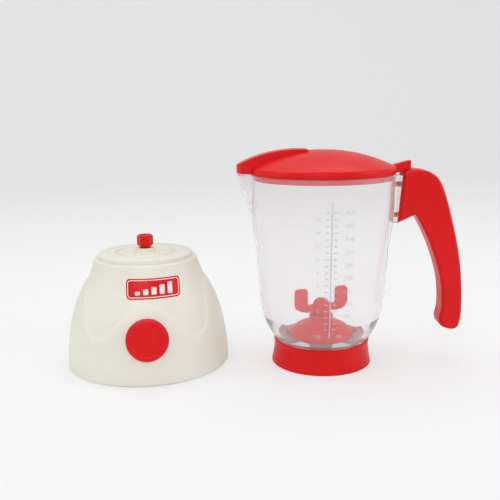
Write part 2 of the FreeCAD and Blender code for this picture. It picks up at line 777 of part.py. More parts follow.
def button():
    radius, proud = size("button_radius"), size("button_proud")
    cap = revolved("button_cap", [
        (2.4, -12.0), (3.4, -12.0), (3.4, 1.6), (radius - 1.7, 1.6), (radius - 1.7, -7.2),
        (radius - 1.7, -8.8), (size("button_flange"), -8.8), (size("button_flange"), -7.2),
        (radius, -7.2), (radius, proud - 2.2), ("via", 14.95, 2.95), (radius - 2.2, proud),
        (radius - 2.9, proud), ("via", 12.15, 3.4), (radius - 4.0, proud - 0.6), (0, proud - 0.6),
        (0, -2.0), (2.4, -2.0)])
    keep("button_cap", on_button(cap))
    plunger = cylinder("switch_plunger", 2.4, 16.6)
    spot = button_point(-18.8)
    place(plunger, spot, button_axis())
    keep("switch_plunger", plunger)
    spring = formed("button_spring", coil(5.4, 0.5, 14.6, 5))
    spring.Placement = Placement(Vector(*button_point(-13.8)), Rotation(Vector(1, 0, 0), 78.0))
    keep("button_spring", spring)
    block = padded("switch_body", [(-6.5, -5.0), (6.5, -5.0), (6.5, 5.0), (-6.5, 5.0)], 10.6,
                   "XY_Plane", -25.2)
    bore(block, 3.8, [(0, 0)], -14.6, 8.2)
    keep("switch_body", on_button(block))


base_housing()
base_bottom()
battery_door()
base_screws()
door_screw()
batteries()
contacts()
motor()
motor_plate()
bushes()
gear_train()
drive_coupling()
button()


# Jug group, made about its own axis and stood beside the base

def on_jug(feature):
    """Stand a piece made about the jug's axis at the jug's place, with the handle's direction."""
    spin = Rotation(Vector(0, 0, 1), float(size("jug_turn")))
    own = feature.Placement
    spot = Placement(Vector(float(size("jug_x")), float(size("jug_y")), 0), spin)
    feature.Placement = spot.multiply(own)
    return feature


def spout(half_top, half_foot, reach_top, reach_foot, top, foot):
    """The pouring lip: a rounded nose at the rim that runs down into the wall."""
    wires = []
    for half, reach, level in ((half_foot, reach_foot, foot), (half_top, reach_top, top)):
        nose = [Vector(-40, -half, level), Vector(-reach + 4.5, -half, level), Vector(-reach, 0, level),
                Vector(-reach + 4.5, half, level), Vector(-40, half, level)]
        edges = [Part.makeLine(nose[0], nose[1]), Part.Arc(nose[1], nose[2], nose[3]).toShape(),
                 Part.makeLine(nose[3], nose[4]), Part.makeLine(nose[4], nose[0])]
        wires.append(Part.Wire(edges))
    return Part.makeLoft(wires, True, True)


def jug_side(inset, top):
    """The jug's wall from its neck to its rim, moved inwards by inset."""
    inset = float(inset)
    return [(46.9 - inset, 39.5), ("via", 49.65 - inset, 54.0), (50.7 - inset, 73.0),
            ("via", 52.7 - inset, 95.0), (55.4 - inset, 116.9), ("via", 56.1 - inset, 134.0),
            (size("rim_radius") - inset, top)]


def jug():
    wall, rim, neck, floor = size("jug_wall"), size("rim_height"), size("neck_radius"), size("floor_height")
    outer = revolved("jug_outside", [(0, 8.0), (neck, 8.0), (neck, 20.2), (38.0, 21.8),
                                     ("via", 43.3, 30.4)] + jug_side(0, rim) + [(0, rim)])
    inner = revolved("jug_inside", [(0, floor), (34.2, floor), ("via", 40.6, 30.9)]
                     + jug_side(wall, rim + 1) + [(0, rim + 1)])
    half, reach = float(size("spout_half")), float(size("spout_reach"))
    thick, foot, top = float(wall), float(size("spout_foot")), float(rim)
    lip = formed("spout_outside", spout(half, half - 3, reach, 53.8, top, foot))
    channel = formed("spout_inside", spout(half - thick, half - 3 - thick, reach - thick, 53.8 - thick,
                                           top + 0.01, foot))
    rail_foot, rail_top = float(size("rail_foot")), float(size("rail_top"))
    rail_half = float(size("rail_half"))
    rail_side = [(52.5, -rail_half, rail_foot), (58.0, -rail_half, rail_foot),
                 (61.4, -rail_half, rail_top), (52.5, -rail_half, rail_top)]
    rail = formed("handle_rail", prism(rail_side, 2 * rail_half, 0, (0, 1, 0)))
    under = cylinder("jug_underside", neck - 1.7, 12.8, (0, 0, floor - size("floor_skin") - 12.8))
    hole = cylinder("dome_hole", 22.0, 10.0, (0, 0, 15.0))
    pegs = [cylinder("peg_hole", PEG_RADIUS, 6.0, (56.6, 0, level), (1, 0, 0)) for level in PEG_LEVELS]
    solid = cut("jug", fuse("jug_solid", outer, lip, rail), inner, channel, under, hole, *pegs)
    keep("jug", on_jug(solid))


def jug_collar():
    socket, depth, neck = size("socket_radius"), size("socket_depth"), size("neck_radius")
    foot, waist, lip = size("collar_radius"), size("collar_waist"), size("collar_lip")
    top = size("collar_height")
    keep("jug_collar", on_jug(revolved("jug_collar", [
        (socket, 0), (foot - 0.6, 0), (foot, 0.6), ("via", 38.75, 7.0), (waist, 13.5),
        ("via", 37.88, 16.5), (lip, top - 0.6), (lip - 0.6, top), (neck, top), (neck, 8.0),
        (34.8, 8.0), (34.8, depth), (socket, depth)])))


def blade_dome():
    rim, floor, neck, top = size("dome_radius"), size("floor_height"), size("dome_neck"), size("dome_top")
    bush = size("bush_radius")
    shell = revolved("dome_shell", [
        (bush, 27.5), (7.0, 27.5), (7.0, 30.6), (11.5, 30.2), ("via", 17.3, 27.4), (20.0, 23.4),
        (20.0, 18.4), (21.8, 18.4), (21.8, floor), (rim, floor), (rim, floor + 1.2),
        ("via", 21.4, 28.3), (12.8, 32.2), ("via", 10.1, 33.6), (neck, 36.2), (neck, top - 0.7),
        (neck - 0.7, top), (bush, top)])
    lugs = [box("dome_lug", (5.0, 5.0, 1.3), (start, -2.5, floor)) for start in (24.2, -29.2)]
    keep("blade_dome", on_jug(fuse("blade_dome", shell, *lugs)))
    hole = size("shaft_radius") + size("shaft_fit")
    keep("blade_bush", on_jug(revolved("blade_bush", [(hole, 27.0), (bush, 27.0), (bush, top + 0.3),
                                                      (hole, top + 0.3)])))


def blade_rotor():
    """A hub with two raised blades and two short blades bent down between them."""
    foot, top, hub = float(size("rotor_foot")), float(size("rotor_top")), float(size("rotor_hub"))
    near, far, skin_of_blade = float(size("wing_near")), float(size("wing_far")), float(size("wing_skin"))
    profile = [Vector(0, 0, foot), Vector(hub, 0, foot), Vector(hub, 0, top - 4.6),
               Vector(hub * 0.76, 0, top - 1.5), Vector(1.6, 0, top), Vector(0, 0, top)]
    dome = Part.Arc(*profile[2:5]).toShape()
    sides = Part.makePolygon([profile[4], profile[5], profile[0], profile[1], profile[2]]).Edges
    solid = Part.Face(Part.Wire(sides + [dome])).revolve(Vector(), Vector(0, 0, 1), 360)
    middle = (near + far) / 2
    for index in range(2):
        arm = prism([(4.0, -1.9, foot + 2.2), (near + 1.5, -1.9, foot + 1.4), (middle, -1.9, foot + 3.2),
                     (middle, -1.9, foot + 6.4), (4.0, -1.9, foot + 7.8)], 3.8, 0, (0, 1, 0))
        wing = prism([(near + 0.8, 0, foot + 2.6), (middle, 0, foot + 1.9), (far - 1.2, 0, foot + 4.4),
                      (far, 0, foot + 8.0), (far, 0, foot + 18.4), (far - 0.8, 0, foot + 20.0),
                      (far - 2.4, 0, foot + 20.8), (near + 2.4, 0, foot + 20.8),
                      (near + 0.8, 0, foot + 20.0), (near, 0, foot + 18.4), (near, 0, foot + 5.0)],
                     skin_of_blade, 0, (0, 1, 0))
        wing.translate(Vector(0, -skin_of_blade / 2, 0))
        wing.rotate(Vector(middle, 0, 0), Vector(0, 0, 1), 8)
        low = prism([(4.0, 0, foot + 6.2), (9.6, 0, foot + 5.4), (13.6, 0, foot + 0.6), (13.9, 0, foot - 3.8),
                     (11.4, 0, foot - 4.4), (9.9, 0, foot - 2.2), (8.6, 0, foot + 1.0), (4.0, 0, foot + 1.6)],
                    6.4, 0, (0, 1, 0))
        low.translate(Vector(0, -3.2, 0))
        low.rotate(Vector(), Vector(0, 0, 1), 90)
        for blade in (arm, wing, low):
            blade.rotate(Vector(), Vector(0, 0, 1), 180 * index)
            solid = solid.fuse(blade)
    solid = solid.cut(Part.makeCylinder(float(size("shaft_radius")), 8.4, Vector(0, 0, foot)))
    solid.rotate(Vector(), Vector(0, 0, 1), float(size("rotor_turn")))
    keep("blade_rotor", on_jug(formed("blade_rotor", solid.removeSplitter())))


def blade_drive():
    """The shaft under the blades and the hexagon socket that drops over the drive coupling."""
    shaft, roof = size("shaft_radius"), 18.8
    keep("blade_shaft", on_jug(cylinder("blade_shaft", shaft, 47.6 - roof, (0, 0, roof))))
    cup = Part.makeCylinder(9.4, 12.2, Vector(0, 0, 8.6))
    cup = cup.fuse(Part.makeCylinder(4.2, 5.6, Vector(0, 0, 20.6)))
    socket = prism(hexagon(float(size("coupling_flats")) + 0.8), roof - 8.0, 8.0)
    cup = cup.cut(socket).cut(Part.makeCylinder(float(shaft), 20.0, Vector(0, 0, 18.0)))
    keep("driven_coupling", on_jug(formed("driven_coupling", cup)))


# Handle

HANDLE_POSTS = [(74.0, 138.0), (99.0, 106.0), (102.6, 44.0)]
PEG_RADIUS = 2.0
PEG_LEVELS = (119.0, 143.0)


def handle_curve(inset=0.0):
    """The handle's smooth outline round the top and the grip, moved inwards by inset."""
    stations = [
        (61.6, 150.4), (64.2, 153.4), (69.0, 154.8), (76.8, 154.4), (87.6, 149.0), (94.2, 137.2),
        (101.0, 114.8), (107.0, 89.6), (110.4, 64.0), (111.2, 48.0), (110.4, 33.0), (108.2, 27.8),
        (104.4, 26.4), (99.6, 27.3), (95.4, 29.4), (93.7, 32.4), (94.4, 40.0), (95.0, 52.0),
        (92.8, 69.6), (88.0, 86.0), (80.4, 104.2), (72.0, 119.6)]
    points = [Vector(x, 0, z) for x, z in stations]
    grip = Part.BSplineCurve()
    grip.interpolate(points)
    if not inset:
        return grip
    moved = []
    for point in points[2:-1]:
        along = grip.tangent(grip.parameter(point))[0]
        moved.append(point + Vector(along.z, 0, -along.x) * inset)
    inner = Part.BSplineCurve()
    inner.interpolate(moved)
    return inner


def handle_face(corners, inset=0.0):
    """The area between the smooth outline and straight edges through the corners."""
    curve = handle_curve(inset).toShape()
    loop = [curve.Vertexes[-1].Point] + [Vector(x, 0, z) for x, z in corners] + [curve.Vertexes[0].Point]
    return Part.Face(Part.Wire([curve] + Part.makePolygon(loop).Edges))


def handle_half(side):
    """One half of the handle, hollow, with its rounded outer edges; side is -1 or 1 along Y."""
    half, wall, rounding = (float(size(name)) for name in ("handle_half", "handle_wall", "handle_round"))
    solid = handle_face([(58.3, 113.2)]).extrude(Vector(0, side * half, 0))
    rims = [edge for edge in solid.Edges
            if edge.BoundBox.YLength < 0.01 and abs(edge.BoundBox.Center.y - side * half) < 0.01]
    solid = solid.makeFillet(rounding, rims)
    hollow = handle_face([(71.0, 121.8), (60.8, 116.8), (63.6, 149.0)], wall)
    hollow = hollow.extrude(Vector(0, side * (half - wall), 0))
    gap, tab, far = (float(size(name)) for name in ("notch_gap", "tab_half", "tab_far"))
    notch = Part.makeBox(far + gap - 56, 2 * (tab + gap), 20.0, Vector(56, -tab - gap, 150.2))
    keep_out = Part.makeBox(far + 3 - 56, 2 * (tab + 2.6), 20.0, Vector(56, -tab - 2.6, 148.2))
    pegs = [Part.makeCylinder(PEG_RADIUS, 8.0, Vector(57.0, 0, level), Vector(1, 0, 0))
            for level in PEG_LEVELS]
    hollow = hollow.cut(keep_out)
    for x, z in HANDLE_POSTS:
        hollow = hollow.cut(Part.makeCylinder(3.4, 2 * half, Vector(x, -half, z), Vector(0, 1, 0)))
    for peg in pegs:
        hollow = hollow.cut(peg)
    solid = solid.cut(hollow).cut(notch)
    for peg in pegs:
        solid = solid.fuse(peg.common(Part.makeBox(80, 30, 160, Vector(50, min(0, 30 * side), 10))))
    screw_radius, head_radius = float(size("screw_radius")), float(size("head_radius"))
    for x, z in HANDLE_POSTS:
        solid = solid.cut(Part.makeCylinder(screw_radius, 16.0, Vector(x, -6.0, z), Vector(0, 1, 0)))
        solid = solid.cut(Part.makeCylinder(head_radius + 0.3, 5.0, Vector(x, 5.6, z), Vector(0, 1, 0)))
    return solid


def handle():
    for label, side in (("handle_front", -1), ("handle_rear", 1)):
        keep(label, on_jug(formed(label, handle_half(side))))
    screw_radius, head_radius = float(size("screw_radius")), float(size("head_radius"))
    screws = [Part.makeCylinder(screw_radius, 11.4, Vector(x, -5.8, z), Vector(0, 1, 0)).fuse(
        Part.makeCylinder(head_radius, 1.9, Vector(x, 5.6, z), Vector(0, 1, 0))) for x, z in HANDLE_POSTS]
    keep("handle_screws", on_jug(formed("handle_screws", Part.makeCompound(screws))))


# Lid

def lid():
    radius, foot, band, crown = size("lid_radius"), size("lid_foot"), size("lid_band"), size("lid_crown")
    wall, plug = size("lid_wall"), size("plug_radius")
    outer = revolved("lid_outside", [
        (0, foot - size("plug_depth")), (plug - 0.6, foot - size("plug_depth")),
        (plug, foot - size("plug_depth") + 0.6), (plug, foot), (radius - 0.8, foot),
        (radius - 0.8, foot + 0.9), (radius, foot + 1.1), (radius, band - 2.2), ("via", 56.3, 156.9),
        (54.6, band + 0.4), ("via", 29.5, 167.0), (0, crown)])
    reach, half = float(size("tongue_reach")), float(size("tongue_half"))
    side = [Vector(-reach - 6, 0, 153.4), Vector(-reach - 6, 0, 158.4), Vector(-reach, 0, 159.4),
            Vector(-43, 0, 168.4), Vector(-12, 0, 170.9), Vector(-12, 0, 160), Vector(-48, 0, 152.0),
            Vector(-57, 0, 152.6)]

    def tongue(shrink):
        """The raised bar over the spout, drawn in on every side by shrink."""
        down = Vector(0, 0, -shrink)
        edges = [Part.makeLine(side[1] + down, side[2] + down),
                 Part.Arc(side[2] + down, side[3] + down, side[4] + down).toShape()]
        loop = [side[4] + down] + [corner - Vector(0, 0, 3 * shrink) for corner in side[5:]]
        loop += [side[0] - Vector(0, 0, 3 * shrink), side[1] + down]
        edges += Part.makePolygon(loop).Edges
        bar = Part.Face(Part.Wire(edges)).extrude(Vector(0, 2 * (half - shrink), 0))
        bar.translate(Vector(0, shrink - half, 0))
        nose = spout(half - shrink, half - shrink, reach - shrink, reach - shrink, 175.0, 140.0)
        ahead = Part.makeBox(40, 60, 60, Vector(-40, -30, 130))
        return bar.common(nose.fuse(ahead))

    tab_side = [(float(size("tab_near")), 0, 152.2), (61.8, 0, 152.2), (61.8, 0, 150.9),
                (float(size("tab_far")), 0, 150.9), (float(size("tab_far")), 0, 161.4),
                (56.6, 0, 158.6), (float(size("tab_near")), 0, 157.0)]
    tab = prism(tab_side, 2 * size("tab_half"), 0, (0, 1, 0))
    tab.translate(Vector(0, -float(size("tab_half")), 0))
    inner = revolved("lid_inside", [
        (0, 140.0), (plug - wall, 140.0), (plug - wall, band - 1.6), ("via", 28.2, 165.0),
        (0, crown - wall)])
    solid = fuse("lid_solid", outer, formed("tongue_outside", tongue(0.0)), formed("lid_tab", tab))
    keep("lid", on_jug(cut("lid", solid, inner, formed("tongue_inside", tongue(1.8)))))


jug()
jug_collar()
blade_dome()
blade_rotor()
blade_drive()
handle()
lid()


# Checks and files

doc.recompute()
for item in doc.Objects:
    assert not {"Invalid", "Error"} & set(item.State), f"{item.Label} failed: {item.State}"
os.makedirs("parts", exist_ok=True)
for label, feature in nodes.items():
    shape = feature.Shape
    assert not shape.isNull() and shape.isValid(), f"{label} has no valid shape"
    shape.exportStep(f"parts/{label}.step")
    print(label, "volume", round(shape.Volume, 1), "solids", len(shape.Solids))
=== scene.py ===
# %% [markdown]
# A toy blender stands apart in two groups: a bell-shaped battery base, and a clear jug with
# a red lid, handle, collar and blades. Its solids come from CAD with exact sizes, so the
# scene only adds what a solid model does not carry: finishes, print, light and a camera.
# The imported solids are loaded first, before anything is added.

# %% Load the solids
import json
import math

import bmesh
import bpy
import numpy as np
from mathutils import Matrix, Vector

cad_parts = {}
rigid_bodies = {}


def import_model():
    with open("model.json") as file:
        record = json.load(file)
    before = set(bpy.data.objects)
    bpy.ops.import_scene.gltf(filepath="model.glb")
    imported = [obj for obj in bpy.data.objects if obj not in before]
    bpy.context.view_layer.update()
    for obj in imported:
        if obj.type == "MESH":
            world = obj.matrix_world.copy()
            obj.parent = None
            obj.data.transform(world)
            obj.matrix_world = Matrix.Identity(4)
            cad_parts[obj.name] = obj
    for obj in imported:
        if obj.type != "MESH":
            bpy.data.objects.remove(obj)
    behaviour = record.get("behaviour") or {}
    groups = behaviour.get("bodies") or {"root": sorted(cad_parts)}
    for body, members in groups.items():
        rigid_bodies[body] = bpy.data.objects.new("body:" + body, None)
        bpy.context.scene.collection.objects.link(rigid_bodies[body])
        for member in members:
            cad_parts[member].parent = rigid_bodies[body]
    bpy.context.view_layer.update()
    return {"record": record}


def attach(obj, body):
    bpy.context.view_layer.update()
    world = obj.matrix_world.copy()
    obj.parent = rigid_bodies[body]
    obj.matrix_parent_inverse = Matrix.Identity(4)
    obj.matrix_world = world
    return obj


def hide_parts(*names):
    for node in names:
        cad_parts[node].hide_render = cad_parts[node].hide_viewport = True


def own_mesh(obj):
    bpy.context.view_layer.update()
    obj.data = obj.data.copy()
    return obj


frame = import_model()

# %% [markdown]
# The camera repeats the photograph's view. Fitting circles of known height to the picture
# gave a focal length of 1.36 picture widths, a camera 0.55 m from the middle of the set and
# 0.196 m above the table, and a look down of 11 degrees. Blender wants the lens for a 36 mm
# sensor.

# %% Camera
SENSOR = 36.0
FOCAL_IN_WIDTHS = 1.3574
CAMERA_PLACE = (0.0135, -0.5446, 0.19596)
HEADING, LOOK_DOWN, ROLL = math.radians(-7.5), math.radians(11.115), -0.0120
NEAREST = 0.01

camera_data = bpy.data.cameras.new("camera")
camera_data.sensor_width = SENSOR
camera_data.lens = SENSOR * FOCAL_IN_WIDTHS
camera_data.clip_start = NEAREST
camera = bpy.data.objects.new("camera", camera_data)
camera.matrix_world = (
    Matrix.Translation(CAMERA_PLACE)
    @ Matrix.Rotation(HEADING, 4, "Z")
    @ Matrix.Rotation(math.pi / 2 - LOOK_DOWN, 4, "X")
    @ Matrix.Rotation(ROLL, 4, "Z")
)
scene = bpy.context.scene
scene.collection.objects.link(camera)
scene.camera = camera
scene.view_settings.view_transform = "Standard"
print("lens", round(camera_data.lens, 2), "mm")

# %% [markdown]
# Every finish here is built from the same few shader nodes. These helpers keep each recipe
# short: they make a material, set constants, fill a socket with a number or a link, and mix
# two shaders.

# %% Node helpers
SCREEN_STEPS, SCREEN_KNEE, SCREEN_SLOPE, SCREEN_LIFT, SCREEN_POWER = 255, 0.04045, 12.92, 0.055, 2.4


def linear(red, green, blue):
    """Screen colour 0 to 255 turned into the linear values that shaders use: each channel
    over 255, then divided by the slope below the knee, or lifted, scaled and raised to the
    power above it. The alpha is 1."""
    parts = [channel / SCREEN_STEPS for channel in (red, green, blue)]
    return tuple(part / SCREEN_SLOPE if part <= SCREEN_KNEE
                 else ((part + SCREEN_LIFT) / (1 + SCREEN_LIFT)) ** SCREEN_POWER
                 for part in parts) + (1.0,)


def new_material(name):
    """A material with its node tree and its Principled shader."""
    material = bpy.data.materials.new(name)
    material.use_nodes = True
    tree = material.node_tree
    return material, tree, tree.nodes["Principled BSDF"]


def set_values(shader, **values):
    """Set constants on a shader's sockets, with a low line for each space in their names."""
    for socket, value in values.items():
        shader.inputs[socket.replace("_", " ")].default_value = value


def feed(tree, term, socket):
    """Fill a socket: the output of another node is linked, and anything else is set on it."""
    if isinstance(term, bpy.types.NodeSocket):
        tree.links.new(term, socket)
    else:
        socket.default_value = term


def calculate(tree, operation, *terms):
    """The output of a math node whose terms are numbers or outputs of other nodes."""
    node = tree.nodes.new("ShaderNodeMath")
    node.operation = operation
    for socket, term in zip(node.inputs, terms):
        feed(tree, term, socket)
    return node.outputs["Value"]


def coloured(tree, kind, colour):
    """The output of a plain shader node of the given kind and colour."""
    node = tree.nodes.new(kind)
    node.inputs["Color"].default_value = colour
    return node.outputs[0]


def mix_shaders(tree, first, second, share):
    """Mix two shaders: a share of 0 is all the first and a share of 1 is all the second."""
    mix = tree.nodes.new("ShaderNodeMixShader")
    for term, socket in zip((share, first, second), mix.inputs):
        feed(tree, term, socket)
    return mix.outputs["Shader"]


print("node helpers ready")

# %% [markdown]
# Moulded plastic is never perfectly even. Noise in object space lets the colour, the
# roughness and the surface vary a little from place to place.

# %% Surface helpers
NOISE_LOW, NOISE_HIGH = 0.3, 0.7
PLASTIC_IOR, PLASTIC_RIPPLE = 1.49, 0.000004
DRIFT_CELLS, GLOSS_CELLS, RIPPLE_CELLS = 24.0, 160.0, 220.0


def noise(tree, scale, detail=3.0):
    """A noise field in object space, with scale in cells per metre."""
    place = tree.nodes.new("ShaderNodeTexCoord")
    field = tree.nodes.new("ShaderNodeTexNoise")
    set_values(field, Scale=scale, Detail=detail)
    tree.links.new(place.outputs["Object"], field.inputs["Vector"])
    return field.outputs["Fac"]


def spread(tree, value, low, high):
    """Map the middle range of a noise field onto low to high."""
    remap = tree.nodes.new("ShaderNodeMapRange")
    set_values(remap, From_Min=NOISE_LOW, From_Max=NOISE_HIGH, To_Min=low, To_Max=high)
    tree.links.new(value, remap.inputs["Value"])
    return remap.outputs["Result"]


def bump(tree, shader, value, depth):
    """Raise the surface by value times depth, in metres."""
    lift = tree.nodes.new("ShaderNodeBump")
    set_values(lift, Strength=1.0, Distance=depth)
    tree.links.new(value, lift.inputs["Height"])
    tree.links.new(lift.outputs["Normal"], shader.inputs["Normal"])


def drift(tree, shader, first, second, scale):
    """Let the base colour drift between two screen colours, with scale in cells per metre."""
    mix = tree.nodes.new("ShaderNodeMix")
    mix.data_type = "RGBA"
    set_values(mix, A=linear(*first), B=linear(*second))
    tree.links.new(spread(tree, noise(tree, scale), 0.0, 1.0), mix.inputs["Factor"])
    tree.links.new(mix.outputs["Result"], shader.inputs["Base Color"])


def moulded(name, colour, shade, rough, gloss=0.5):
    """Moulded plastic: a base colour that drifts to a close shade, uneven gloss and a
    faint surface ripple."""
    material, tree, shader = new_material(name)
    drift(tree, shader, colour, shade, DRIFT_CELLS)
    uneven = spread(tree, noise(tree, GLOSS_CELLS), rough - 0.04, rough + 0.05)
    tree.links.new(uneven, shader.inputs["Roughness"])
    bump(tree, shader, noise(tree, RIPPLE_CELLS, 1.0), PLASTIC_RIPPLE)
    set_values(shader, Specular_IOR_Level=gloss, IOR=PLASTIC_IOR)
    return material


print("surface helpers ready")

# %% [markdown]
# The base is moulded in an opaque cream, and everything the hand touches in a bright red.
# Both are glossy, so they get a low roughness. The colours are the photograph's, read where
# the light falls evenly.

# %% Opaque plastics
cream = moulded("cream", (233, 232, 219), (229, 227, 213), 0.36, gloss=0.35)
red = moulded("red", (222, 8, 12), (216, 5, 9), 0.33, gloss=0.26)
dark_grey = moulded("dark_grey", (58, 58, 61), (48, 48, 52), 0.55)
white = moulded("white", (226, 226, 221), (214, 214, 208), 0.45)
jacket = moulded("jacket", (38, 42, 50), (30, 33, 40), 0.30)
print("plastics", cream.name, red.name, dark_grey.name, white.name, jacket.name)

# %% [markdown]
# The jug is clear styrene. Real light goes through two thin walls, loses a little and picks
# up a faint milky veil from scratches and moulding haze, which grows where the wall is seen
# at a low angle. A path tracer would cast a black shadow from solid glass, so shadow rays
# see a plain see-through surface instead.

# %% Clear plastic
GLASS_TINT, VEIL_TINT, SHADOW_TINT = (0.985, 0.985, 0.99), (0.93, 0.93, 0.94), (0.965, 0.965, 0.97)
GLASS_IOR, GLASS_ROUGH, GLASS_RIPPLE, GLASS_CELLS = 1.16, 0.03, 0.00008, 60.0
VEIL_LEAST, VEIL_MOST, VEIL_CELLS, EDGE_VEIL, EDGE_POWER = 0.085, 0.12, 30.0, 0.30, 5.0

clear, tree, glass = new_material("clear")
set_values(glass, Base_Color=(*GLASS_TINT, 1.0), Transmission_Weight=1.0, Roughness=GLASS_ROUGH,
           IOR=GLASS_IOR)
bump(tree, glass, noise(tree, GLASS_CELLS, 1.0), GLASS_RIPPLE)
facing = tree.nodes.new("ShaderNodeLayerWeight").outputs["Facing"]
edge = calculate(tree, "POWER", facing, EDGE_POWER)
even = spread(tree, noise(tree, VEIL_CELLS), VEIL_LEAST, VEIL_MOST)
haze = calculate(tree, "MULTIPLY_ADD", edge, EDGE_VEIL, even)
veil = coloured(tree, "ShaderNodeBsdfDiffuse", (*VEIL_TINT, 1.0))
hazed = mix_shaders(tree, glass.outputs["BSDF"], veil, haze)
through = coloured(tree, "ShaderNodeBsdfTransparent", (*SHADOW_TINT, 1.0))
shadow_ray = tree.nodes.new("ShaderNodeLightPath").outputs["Is Shadow Ray"]
surface = mix_shaders(tree, hazed, through, shadow_ray)
tree.links.new(surface, tree.nodes["Material Output"].inputs["Surface"])
print("clear plastic", len(tree.nodes), "nodes")

# %% [markdown]
# The screws, shafts and motor are metal. Fine scratches along the parts make metal look
# real, so a fine noise drives both the roughness and the surface.

# %% Metals
SCRATCH_CELLS, SCRATCH_DETAIL, SCRATCH_DEPTH = 900.0, 4.0, 0.000008


def metal(name, colour, rough):
    """A bare metal: full metallic, with roughness that follows fine scratches."""
    material, tree, shader = new_material(name)
    set_values(shader, Base_Color=linear(*colour), Metallic=1.0)
    scratches = noise(tree, SCRATCH_CELLS, SCRATCH_DETAIL)
    tree.links.new(spread(tree, scratches, rough - 0.08, rough + 0.10), shader.inputs["Roughness"])
    bump(tree, shader, scratches, SCRATCH_DEPTH)
    return material


steel = metal("steel", (176, 178, 182), 0.34)
bright_steel = metal("bright_steel", (205, 206, 210), 0.18)
brass = metal("brass", (205, 170, 98), 0.25)
print("metals", steel.name, bright_steel.name, brass.name)

# %% [markdown]
# Each solid names a material slot in its record. One table turns those slots into the
# finishes above, so no solid is left with a bare colour.

# %% Give every solid its finish
finishes = {
    "cream_plastic": cream, "red_plastic": red, "clear_plastic": clear,
    "grey_plastic": dark_grey, "white_plastic": white, "steel": steel,
    "spring_steel": bright_steel, "cell_jacket": jacket, "brass": brass,
}
for part in frame["record"]["subparts"]:
    solid = bpy.data.objects[part["node"]]
    solid.data.materials.clear()
    solid.data.materials.append(finishes[part["material_slot"]])

# %% [markdown]
# The shown surfaces are grids of points worked out with numpy. Three helpers turn such a
# grid into a smooth object in the scene.

# %% Mesh helpers
def grid_faces(index):
    """The four corners of every cell, from point numbers laid out in rows and columns. More
    grids can be stacked in front of the rows."""
    return np.stack([index[..., :-1, :-1], index[..., :-1, 1:], index[..., 1:, 1:],
                     index[..., 1:, :-1]], axis=-1).reshape(-1, 4)


def new_mesh(name, points, faces):
    """A mesh from an array of points and an array of four corners for each face."""
    mesh = bpy.data.meshes.new(name)
    mesh.from_pydata(points.reshape(-1, 3).tolist(), [], faces.tolist())
    return mesh


def show(name, mesh, material):
    """Put a mesh in the scene as a smooth object with one material."""
    mesh.polygons.foreach_set("use_smooth", [True] * len(mesh.polygons))
    mesh.materials.append(material)
    made = bpy.data.objects.new(name, mesh)
    scene.collection.objects.link(made)
    return made


def grid_object(name, x, y, z, material):
    """A smooth object from three grids of coordinates with the same rows and columns."""
    faces = grid_faces(np.arange(x.size).reshape(x.shape))
    return show(name, new_mesh(name, np.stack([x, y, z], axis=-1), faces), material)


print("mesh helpers ready")

# %% [markdown]
# The set stands on a seamless white sweep, as product photographs are taken. The floor
# curves up into the backdrop far behind, so no corner shows. In such pictures the paper is
# nearly white, so rays that reach it straight from the camera, or through the clear jug,
# see a share of plain glow mixed into it, and the rest still shows the shadows.

# %% Floor and backdrop
PAPER_GLOW, PAPER_ROUGH, PAPER_GLOSS, PAPER_CELLS = 0.55, 0.7, 0.15, 3.0
SWEEP_HALF, SWEEP_NEAR, SWEEP_FAR, SWEEP_BEND, SWEEP_TOP = 8.0, -8.0, 1.6, 0.8, 3.2
BEND_POINTS = 25

bend = np.linspace(0, math.pi / 2, BEND_POINTS)
curve = SWEEP_FAR + SWEEP_BEND * np.sin(bend)
depth = np.concatenate([[SWEEP_NEAR], curve, [SWEEP_FAR + SWEEP_BEND]])
height = np.concatenate([[0.0], SWEEP_BEND * (1 - np.cos(bend)), [SWEEP_TOP]])
across, along = np.meshgrid([-SWEEP_HALF, SWEEP_HALF], depth, indexing="ij")
paper, tree, shader = new_material("paper")
drift(tree, shader, (243, 243, 243), (241, 241, 242), PAPER_CELLS)
set_values(shader, Roughness=PAPER_ROUGH, Specular_IOR_Level=PAPER_GLOSS)
glow = coloured(tree, "ShaderNodeEmission", linear(247, 247, 247))
rays = tree.nodes.new("ShaderNodeLightPath").outputs
direct = calculate(tree, "MAXIMUM", rays["Is Camera Ray"], rays["Is Transmission Ray"])
share = calculate(tree, "MULTIPLY", direct, PAPER_GLOW)
lit = mix_shaders(tree, shader.outputs["BSDF"], glow, share)
tree.links.new(lit, tree.nodes["Material Output"].inputs["Surface"])
sweep = grid_object("sweep", across, along, np.broadcast_to(height, across.shape), paper)
print("sweep", len(sweep.data.polygons), "faces")

# %% [markdown]
# The housing's sunk panels have a soft, rolled edge, as a polished mould gives. The solid
# has a sharp step there, so the shown housing is a surface of its own: its radius is a
# function of the angle and the height. It goes from the raised skin to the sunk one along a
# wave line, and a smooth blend across that line makes the rolled edge.

# %% Profiles of the housing
MM = 1000.0
BUTTON_TILT = math.radians(12)
BUTTON_AT = np.array([0.0, -0.0613, 0.0351])
BUTTON_OUT = np.array([0.0, -math.cos(BUTTON_TILT), math.sin(BUTTON_TILT)])
BUTTON_UP = np.array([0.0, math.sin(BUTTON_TILT), math.cos(BUTTON_TILT)])
SUNK, LEDGE = 1.1, (44.0, 71.0)


def arc(start, middle, end, count):
    """Points (radius, height) on the circle through three points: the centre solves two
    equal-distance equations, and the angle runs evenly from start to end."""
    a, b, c = (np.array(p, float) for p in (start, middle, end))
    centre = np.linalg.solve(2 * np.array([b - a, c - a]),
                             np.array([b @ b - a @ a, c @ c - a @ a]))
    angles = np.unwrap([math.atan2(*(p - centre)[::-1]) for p in (a, b, c)])
    turn = np.linspace(angles[0], angles[2], count)
    return centre + np.linalg.norm(a - centre) * np.stack([np.cos(turn), np.sin(turn)], axis=-1)


